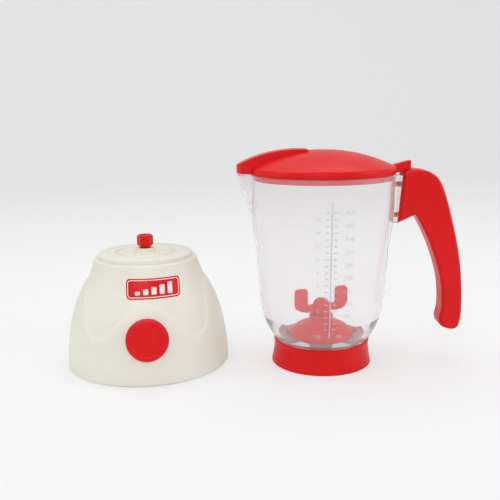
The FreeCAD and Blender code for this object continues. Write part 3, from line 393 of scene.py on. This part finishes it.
lower_skin = arc((65.0, 1.0), (63.9, 21.0), (61.3, 36.0), 60)
upper_skin = arc((61.3, 36.0), (57.0, 50.6), (48.6, 68.3), 70)
raised = np.concatenate([lower_skin, upper_skin[1:], [LEDGE]])
neck = arc((47.5, 68.3), (44.2, 76.0), (41.2, 85.5), 40)
sunk = np.concatenate([lower_skin - (SUNK, 0), upper_skin[1:] - (SUNK, 0), neck[1:]])
print("skins", len(raised), "and", len(sunk), "points")

# %% [markdown]
# Seen from the front, the edge of the sunk panel is a hump over the button between two
# round lobes, with nearly upright sides. The distance to that line, negative inside the
# panel, is all that the blend needs.

# %% The wave line
WAVE_HALF, WAVE_LEAN, PANEL_TOP, SLOPE = 47.0, 1.4, 80.0, math.radians(44.0)
HUMP, HUMP_TOP, HUMP_POINTS = 20.2, 57.5, 16
LOBE, LOBE_X, LOBE_Z, LOBE_POINTS = 9.35, 37.65, 41.95, 30

swing = np.linspace(0, SLOPE, HUMP_POINTS)
hump = np.stack([HUMP * np.sin(swing), HUMP_TOP - HUMP * (1 - np.cos(swing))], axis=-1)
roll = np.linspace(-math.pi / 2 - SLOPE, 0, LOBE_POINTS)
lobe = np.stack([LOBE_X + LOBE * np.cos(roll), LOBE_Z + LOBE * np.sin(roll)], axis=-1)
wave = np.concatenate([hump, lobe, [(WAVE_HALF + WAVE_LEAN, PANEL_TOP)]])


def panel_distance(x, z):
    """Distance in mm from (x, z) to the wave line: the least distance to any of its straight
    pieces, negative where the point is inside the panel."""
    point = np.stack([np.abs(x), z], axis=-1)[..., None, :]
    start, along = wave[:-1], np.diff(wave, axis=0)
    share = np.clip(((point - start) * along).sum(-1) / (along ** 2).sum(-1), 0, 1)
    least = np.linalg.norm(point - start - share[..., None] * along, axis=-1).min(-1)
    side = WAVE_HALF + WAVE_LEAN * np.clip((z - LOBE_Z) / (PANEL_TOP - LOBE_Z), 0, 1)
    above = z > np.interp(np.abs(x), wave[:-1, 0], wave[:-1, 1])
    return np.where((np.abs(x) < side) & above, -least, least)


print("wave line", len(wave), "points")

# %% [markdown]
# One grid covers the housing: its rows run from the inner foot, up the outside, over the
# ledge, the step, the groove and the disc, to the hole for the shaft. Each row has a plain
# radius and a proud one, and the wave line says how much of each a point gets.

# %% The housing's radius
ROLL_IN, ROLL_OUT, HOUSING_COLUMNS = -2.7, 0.7, 480

foot_rows = np.array([(61.9, 9.0), (61.9, 1.0), (64.7, 1.0), (64.93, 1.15)])
side_heights = np.concatenate([
    np.linspace(1.5, 24.0, 26), np.linspace(24.8, 72.0, 76), np.linspace(73.0, 85.5, 16)])
cap_rows = np.array([
    (40.96, 86.06), (40.4, 86.3), (38.1, 86.3), (37.6, 86.8), (37.6, 89.4), (37.4, 89.95),
    (36.7, 90.3), (24.5, 90.3), (23.6, 89.0), (21.6, 89.0), (21.0, 90.3), (20.4, 90.7),
    (8.2, 90.7), (7.4, 93.1), (6.8, 93.5), (5.0, 93.5), (5.0, 88.5)])
side_radii = np.interp(side_heights, sunk[:, 1], sunk[:, 0])
heights = np.concatenate([foot_rows[:, 1], side_heights, cap_rows[:, 1]])
plain = np.concatenate([foot_rows[:, 0], side_radii, cap_rows[:, 0]])
proud = np.interp(heights, raised[:, 1], raised[:, 0], left=0.0, right=0.0)
proud[: len(foot_rows)] = plain[: len(foot_rows)]
proud[len(foot_rows) + len(side_heights):] = 0.0
angle, height = np.meshgrid(np.linspace(0, 2 * math.pi, HOUSING_COLUMNS + 1), heights)
outer, inner = np.maximum(proud, plain)[:, None], plain[:, None]
beyond = panel_distance(outer * np.sin(angle), height)
blend = np.clip((beyond - ROLL_IN) / (ROLL_OUT - ROLL_IN), 0, 1)
radius = inner + (outer - inner) * blend ** 2 * (3 - 2 * blend)
points = np.stack([radius * np.sin(angle), -radius * np.cos(angle), height], axis=-1) / MM
print("housing grid", len(heights), "by", HOUSING_COLUMNS)

# %% [markdown]
# Faces inside the button's hole are left out, and the points next to it are drawn onto the
# hole's circle. The last column of the grid is the first one again, so the faces close
# round the back without a seam.

# %% The button's hole
HOLE, AWAY, TINY = 0.016, 1.0, 1e-6

offset = points - BUTTON_AT
right, up = offset[..., 0], offset @ BUTTON_UP
reach = np.hypot(right, up) + AWAY * (points[..., 1] > 0)
pull = np.where(reach < HOLE, HOLE / np.maximum(reach, TINY) - 1, 0.0)
points += pull[..., None] * (right[..., None] * np.array([1.0, 0, 0]) + up[..., None] * BUTTON_UP)
index = np.arange(len(heights) * HOUSING_COLUMNS).reshape(len(heights), HOUSING_COLUMNS)
corners = grid_faces(np.concatenate([index, index[:, :1]], axis=1))
in_hole = (reach[:, :-1] < HOLE).ravel()
corners = corners[~in_hole[corners].all(axis=1)]
used, corners = np.unique(corners, return_inverse=True)
mesh = new_mesh("housing_skin", points[:, :-1].reshape(-1, 3)[used], corners.reshape(-1, 4))
print("housing faces", len(mesh.polygons), "left out", int(in_hole.sum()), "points")

# %% [markdown]
# A thin shell would show its cut edge at the hole, so the rim of the hole is drawn straight
# in along the button's axis as a lip. The rim's edges are the open ones near the button.

# %% The lip of the button's hole
LIP, SHARP = 0.0035, math.radians(32)
RIM_BACK, RIM_FRONT, RIM_LOW = -0.01, -0.04, 0.01


def by_button(vert):
    """Whether a point lies at the front, above the foot and near the plane of the button."""
    out = (np.array(vert.co) - BUTTON_AT) @ BUTTON_OUT
    return out > RIM_BACK and vert.co.y < RIM_FRONT and vert.co.z > RIM_LOW


form = bmesh.new()
form.from_mesh(mesh)
rim = [edge for edge in form.edges if edge.is_boundary and all(map(by_button, edge.verts))]
lip = bmesh.ops.extrude_edge_only(form, edges=rim)
moved = [item for item in lip["geom"] if isinstance(item, bmesh.types.BMVert)]
bmesh.ops.translate(form, verts=moved, vec=Vector(BUTTON_OUT * -LIP))
bmesh.ops.recalc_face_normals(form, faces=form.faces)
form.to_mesh(mesh)
form.free()
housing = show("housing_skin", mesh, cream)
mesh.set_sharp_from_angle(angle=SHARP)
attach(housing, "base")
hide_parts("base_housing")
print("housing faces", len(mesh.polygons), "rim edges", len(rim))

# %% [markdown]
# The button's return spring is a steel coil that stands behind the button.

# %% The button's spring
STEPS_PER_COIL, WIRE_SIDES = 40, 12
SPRING_LENGTH, SPRING_RADIUS, SPRING_WIRE, SPRING_COILS = 0.0140, 0.0054, 0.0005, 5
SPRING_DEPTH, PRESS = 0.0135, 0.003


def coil_spring(name, foot, along, radius, wire, length, coils, finish):
    """A round wire swept along a helix: the wire's centre turns about the axis while it
    climbs, and each ring of points lies across the wire's own direction. Lengths in metres."""
    turn = np.linspace(0, 2 * math.pi * coils, coils * STEPS_PER_COIL + 1)[:, None]
    ring = np.linspace(0, 2 * math.pi, WIRE_SIDES + 1)[None, :]
    climb = length / (2 * math.pi * coils)
    out = np.stack([np.cos(turn), np.sin(turn), 0 * turn], axis=-1)
    ahead = np.stack([-radius * np.sin(turn), radius * np.cos(turn), climb + 0 * turn], axis=-1)
    across = np.cross(ahead / np.linalg.norm(ahead, axis=-1, keepdims=True), out)
    centre = radius * out + np.array([0, 0, 1.0]) * climb * turn[..., None]
    local = centre + wire * (np.cos(ring)[..., None] * out + np.sin(ring)[..., None] * across)
    axes = np.stack([np.array([1.0, 0, 0]), BUTTON_UP, along])
    return grid_object(name, *np.moveaxis(foot + local @ axes, -1, 0), finish)


spring_foot = BUTTON_AT - SPRING_DEPTH * BUTTON_OUT
spring = coil_spring("button_coil", spring_foot, BUTTON_OUT, SPRING_RADIUS, SPRING_WIRE,
                     SPRING_LENGTH, SPRING_COILS, bright_steel)
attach(spring, "base")
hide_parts("button_spring")
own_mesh(spring)
print("spring faces", len(spring.data.polygons))

# %% [markdown]
# A thin printed sticker sits above the button, a little to the right: a red field with
# round corners, a white line inside its edge, and five rising white bars. Each form is
# drawn flat and then wrapped round the sunk panel.

# %% Sticker shapes
TURN_POINTS, SIDE_POINTS = 96, 12


def on_housing(across, height, proud):
    """Wrap a flat shape round the sunk panel: across is the arc length from the front line,
    and the radius is the sunk skin's at that height plus proud. Lengths are in metres."""
    radius = np.interp(height * MM, sunk[:, 1], sunk[:, 0]) / MM + proud
    angle = across / radius
    return radius * np.sin(angle), -radius * np.cos(angle), height


def round_rectangle(centre, half_width, half_height, corner, rows=21, columns=41):
    """A filled rectangle with round corners as a grid: each row's half width shrinks near
    the top and bottom as a quarter circle does."""
    v, u = np.meshgrid(np.linspace(-1, 1, rows), np.linspace(-1, 1, columns), indexing="ij")
    height = half_height * np.sin(v * math.pi / 2)
    into = np.maximum(np.abs(height) - (half_height - corner), 0)
    width = half_width - corner + np.sqrt(np.maximum(corner ** 2 - into ** 2, 0))
    return centre[0] + u * width, centre[1] + height


def band(centre, half_width, half_height, corner, thick):
    """A line of even width round a rectangle with round corners: points on the outline, and
    the same outline drawn in by thick."""
    turn = (np.arange(TURN_POINTS) + 0.5) * 2 * math.pi / TURN_POINTS
    direction = np.stack([np.cos(turn), np.sin(turn)])
    push = np.sign(direction) * np.array([[half_width - corner], [half_height - corner]])
    share = np.linspace(0, 1, SIDE_POINTS, endpoint=False)
    rings = []
    for inset in (0, thick):
        ring = push + direction * (corner - inset)
        step = np.roll(ring, -1, axis=1) - ring
        fine = (ring[..., None] + step[..., None] * share).reshape(2, -1)
        rings.append(np.append(fine, ring[:, :1], axis=1))
    x, z = np.stack(rings, axis=1)
    return centre[0] + x, centre[1] + z


print("sticker shapes ready")

# %% [markdown]
# The white print lies a little prouder than the red field, so no two surfaces meet. Each
# bar is taller than the one before it, and all stand on one line.

# %% Sticker
STICKER, STICKER_HALF, STICKER_TALL, CORNER = (0.0063, 0.0706), 0.0210, 0.0072, 0.0030
LINE_INSET, LINE_THICK, LINE_CORNER = 0.0010, 0.0006, 0.0024
BARS, BAR_PITCH, BAR_HALF, BAR_CORNER, BAR_DROP = 5, 0.0062, 0.0019, 0.0006, 0.0042
BAR_FIRST, BAR_GROWTH, BAR_ROWS, BAR_COLUMNS = 0.0012, 0.0007, 9, 5
FIELD_PROUD, PRINT_PROUD = 0.00015, 0.00030

print_white = moulded("print_white", (236, 228, 226), (230, 222, 220), 0.45, gloss=0.3)
line = band(STICKER, STICKER_HALF - LINE_INSET, STICKER_TALL - LINE_INSET, LINE_CORNER,
            LINE_THICK)
printed = [("sticker_line", line)]
for number in range(BARS):
    tall = BAR_FIRST + BAR_GROWTH * number
    middle = (STICKER[0] + (number - (BARS - 1) / 2) * BAR_PITCH, STICKER[1] - BAR_DROP + tall)
    bar = round_rectangle(middle, BAR_HALF, tall, BAR_CORNER, BAR_ROWS, BAR_COLUMNS)
    printed.append((f"sticker_bar_{number + 1}", bar))
field = round_rectangle(STICKER, STICKER_HALF, STICKER_TALL, CORNER)
patch = grid_object("sticker_field", *on_housing(*field, FIELD_PROUD), red)
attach(patch, "base")
for name, flat in printed:
    patch = grid_object(name, *on_housing(*flat, PRINT_PROUD), print_white)
    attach(patch, "base")
print("sticker pieces", len(printed) + 1)

# %% [markdown]
# The jug carries a raised measuring scale: one long rib, short ribs on both sides, and
# numbers. Raised marks on a clear wall scatter light, so they look pale over the blades and
# grey over the white paper. They follow the wall, whose radius is sampled with rays cast
# at the solid jug and then read off by interpolation.

# %% Reading a wall's radius
JUG_AXIS, JUG_TURN = (0.1395, -0.0256), math.radians(-7.5)
SCALE_FOOT, SCALE_TOP, SAMPLES, RAY_START = 0.022, 0.150, 129, 0.2


def wall_radius(node, centre, azimuth, heights):
    """Outer radius of a solid of revolution at the given heights, in metres: a ray is cast
    from outside towards the axis at each height, in the direction azimuth, in radians."""
    solid = bpy.data.objects[node]
    outward = Vector((math.sin(azimuth), -math.cos(azimuth), 0.0))
    found = []
    for height in heights:
        axis_point = Vector((*centre, height))
        hit, point, _, _ = solid.ray_cast(axis_point + outward * RAY_START, -outward)
        found.append((point - axis_point).length if hit else 0.0)
    return np.array(found)


def on_jug_front(across, height, proud):
    """Wrap flat marks round the jug's front: across is the arc length from the front line,
    and the radius comes from the sampled wall plus proud."""
    radius = np.interp(height, jug_heights, jug_radii) + proud
    angle = JUG_TURN + across / radius
    return JUG_AXIS[0] + radius * np.sin(angle), JUG_AXIS[1] - radius * np.cos(angle), height


jug_heights = np.linspace(SCALE_FOOT, SCALE_TOP, SAMPLES)
jug_radii = wall_radius("jug", JUG_AXIS, JUG_TURN, jug_heights)
print("jug radius", round(float(jug_radii.min()), 4), "to", round(float(jug_radii.max()), 4))

# %% [markdown]
# All marks share one finish, a frosted clear plastic: partly see-through, with a pale
# diffuse part.

# %% Frosted finish
FROST_SHARE, FROST_CELLS = 0.72, 90.0

frost, tree, shader = new_material("frost")
drift(tree, shader, (206, 206, 210), (194, 194, 199), FROST_CELLS)
set_values(shader, Roughness=0.35, Specular_IOR_Level=0.6)
see_through = tree.nodes.new("ShaderNodeBsdfTransparent").outputs["BSDF"]
frosted = mix_shaders(tree, see_through, shader.outputs["BSDF"], FROST_SHARE)
tree.links.new(frosted, tree.nodes["Material Output"].inputs["Surface"])
print("frost", len(tree.nodes), "nodes")

# %% [markdown]
# The long rib and the short ones are low pillows, so they catch a soft light along their
# edges. The short ribs stand in two rows at an even pitch, on each side of the long one.

# %% Frosted marks
RIB_COLUMNS, RIB_ROWS, RIB_SINK, SIDE_POWER, END_POWER = 5, 9, 0.0001, 2, 8
LINE_AT, LINE_FOOT, LINE_TOP, LINE_WIDTH = 0.0013, 0.0315, 0.1355, 0.0011
TICK_TOP, TICK_PITCH, TICK_COUNT = 0.1285, 0.00494, 19
TICK_NEAR, TICK_FAR, TICK_THICK, PROUD = 0.0017, 0.0045, 0.0008, 0.00035


def wrapped_ribs(name, boxes, proud, wrap, finish):
    """Raised ribs as one mesh: each rib is a low pillow over a rectangle (x0, x1, z0, z1),
    highest along its middle and sunk into the wall at its edges."""
    x0, x1, z0, z1 = (column[:, None, None] for column in np.array(boxes).T)
    u, v = np.meshgrid(np.linspace(0, 1, RIB_COLUMNS), np.linspace(0, 1, RIB_ROWS))
    crown = (1 - (2 * u - 1) ** SIDE_POWER) * (1 - (2 * v - 1) ** END_POWER)
    x, y, z = wrap(x0 + (x1 - x0) * u, z0 + (z1 - z0) * v, proud * crown - RIB_SINK)
    return grid_object(name, x, y, z, finish)


tick_heights = TICK_TOP - TICK_PITCH * np.arange(TICK_COUNT)
ribs = [(LINE_AT - LINE_WIDTH / 2, LINE_AT + LINE_WIDTH / 2, LINE_FOOT, LINE_TOP)]
for side in (-1, 1):
    ends = sorted((LINE_AT + side * TICK_NEAR, LINE_AT + side * TICK_FAR))
    ribs += [(*ends, height - TICK_THICK / 2, height + TICK_THICK / 2) for height in tick_heights]
scale_ribs = wrapped_ribs("scale_ribs", ribs, PROUD, on_jug_front, frost)
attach(scale_ribs, "jug")
print("ribs", len(ribs))

# %% [markdown]
# The numbers are Blender's own plain letters. Each is turned into a mesh, and its flat
# points are wrapped round the wall by the same function as the ribs.

# %% Lettering
FONT_PER_HEIGHT, FONT_CURVES = 1.4, 3


def flat_letters(name, text, tall, align):
    """Plain lettering as a flat mesh: tall is the height of its capitals in metres."""
    curve = bpy.data.curves.new(name, "FONT")
    curve.body, curve.size, curve.resolution_u = text, tall * FONT_PER_HEIGHT, FONT_CURVES
    curve.align_x, curve.align_y = align, "CENTER"
    letter = bpy.data.objects.new(name, curve)
    scene.collection.objects.link(letter)
    depsgraph = bpy.context.evaluated_depsgraph_get()
    flat = bpy.data.meshes.new_from_object(letter.evaluated_get(depsgraph))
    bpy.data.objects.remove(letter)
    return flat


def wrapped_text(name, words, wrap, proud):
    """Lettering on a wall as one object: words is a list of (text, x, z, height, align), and
    every flat letter is wrapped round the wall and lifted off it by proud."""
    objects = []
    for text, x, z, tall, align in words:
        flat = flat_letters(name, text, tall, align)
        flat_points = np.empty(len(flat.vertices) * 3)
        flat.vertices.foreach_get("co", flat_points)
        flat_points = flat_points.reshape(-1, 3)
        wrapped = wrap(flat_points[:, 0] + x, flat_points[:, 1] + z, proud)
        flat.vertices.foreach_set("co", np.stack(wrapped, axis=-1).ravel())
        item = bpy.data.objects.new(f"{name}_{len(objects)}", flat)
        scene.collection.objects.link(item)
        objects.append(item)
    with bpy.context.temp_override(active_object=objects[0], selected_editable_objects=objects):
        bpy.ops.object.join()
    objects[0].name = name
    return objects[0]


print("lettering ready")

# %% [markdown]
# Millilitres run up the right side, a number at every second tick, and ounces up the left
# side at the ticks between them. The two units stand under their columns.

# %% Numbers on the jug
ML_MOST, ML_STEP, ML_AT, ML_TALL = 450, 50, LINE_AT + 0.0097, 0.0034
OZ_MOST, OZ_STEP, OZ_AT, OZ_TALL = 16, 2, LINE_AT - 0.0085, 0.0026
UNIT_HEIGHT, UNIT_TALL, ML_UNIT_AT, OZ_UNIT_AT = 0.0330, 0.0030, LINE_AT + 0.0050, LINE_AT - 0.0062
NUMBERED, PRINT_LIFT = 17, 0.00012


def column(most, step, heights, x, tall, align):
    """Words for a column of numbers that fall from most by step, one for each height."""
    return [(str(most - step * n), x, height, tall, align) for n, height in enumerate(heights)]


words = column(ML_MOST, ML_STEP, tick_heights[:NUMBERED:2], ML_AT, ML_TALL, "LEFT")
words += column(OZ_MOST, OZ_STEP, tick_heights[1:NUMBERED:2], OZ_AT, OZ_TALL, "RIGHT")
words += [("ML", ML_UNIT_AT, UNIT_HEIGHT, UNIT_TALL, "LEFT"),
          ("OZ", OZ_UNIT_AT, UNIT_HEIGHT, UNIT_TALL, "RIGHT")]
numbers = wrapped_text("scale_numbers", words, on_jug_front, PRINT_LIFT)
numbers.data.materials.clear()
numbers.data.materials.append(frost)
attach(numbers, "jug")
print("numbers", len(words), "faces", len(numbers.data.polygons))

# %% [markdown]
# The light is a soft studio tent: an even white world fills the shadows, and one big soft
# panel above and a weaker one on each side shape the forms and leave broad highlights.
# Where the camera looks past the paper it sees a plain pale wall instead of the tent.

# %% Tent
TENT_LEVEL = 0.55

world = bpy.data.worlds.new("tent")
scene.world = world
world.use_nodes = True
tree = world.node_tree
tent = tree.nodes["Background"]
set_values(tent, Color=(1.0, 1.0, 1.0, 1.0), Strength=TENT_LEVEL)
far_wall = coloured(tree, "ShaderNodeBackground", linear(236, 236, 237))
camera_ray = tree.nodes.new("ShaderNodeLightPath").outputs["Is Camera Ray"]
seen = mix_shaders(tree, tent.outputs["Background"], far_wall, camera_ray)
tree.links.new(seen, tree.nodes["World Output"].inputs["Surface"])
print("tent level", TENT_LEVEL)

# %% [markdown]
# The panels all face the middle of the set. The one in front stands far back and lights
# both the base and the jug evenly, and the right one is a little stronger than the left.

# %% Panels
MIDDLE = (0.06, 0.0, 0.08)


def panel(name, place, width, tall, power):
    """A soft rectangular lamp that faces the middle of the set: sizes in metres, power in
    watts."""
    lamp = bpy.data.lights.new(name, "AREA")
    lamp.shape, lamp.size, lamp.size_y, lamp.energy = "RECTANGLE", width, tall, power
    holder = bpy.data.objects.new(name, lamp)
    holder.location = place
    facing = (Vector(MIDDLE) - Vector(place)).to_track_quat("-Z", "Y")
    holder.rotation_euler = facing.to_euler()
    scene.collection.objects.link(holder)


panel("top_panel", (0.05, 0.15, 1.15), width=1.4, tall=1.0, power=6.5)
panel("front_panel", (-0.25, -1.5, 0.9), width=0.9, tall=0.7, power=5.0)
panel("left_panel", (-1.2, -0.3, 0.6), width=0.6, tall=0.9, power=2.0)
panel("right_panel", (1.2, -0.5, 0.6), width=0.6, tall=0.9, power=3.2)
print("lamps", [lamp.name for lamp in bpy.data.lights])
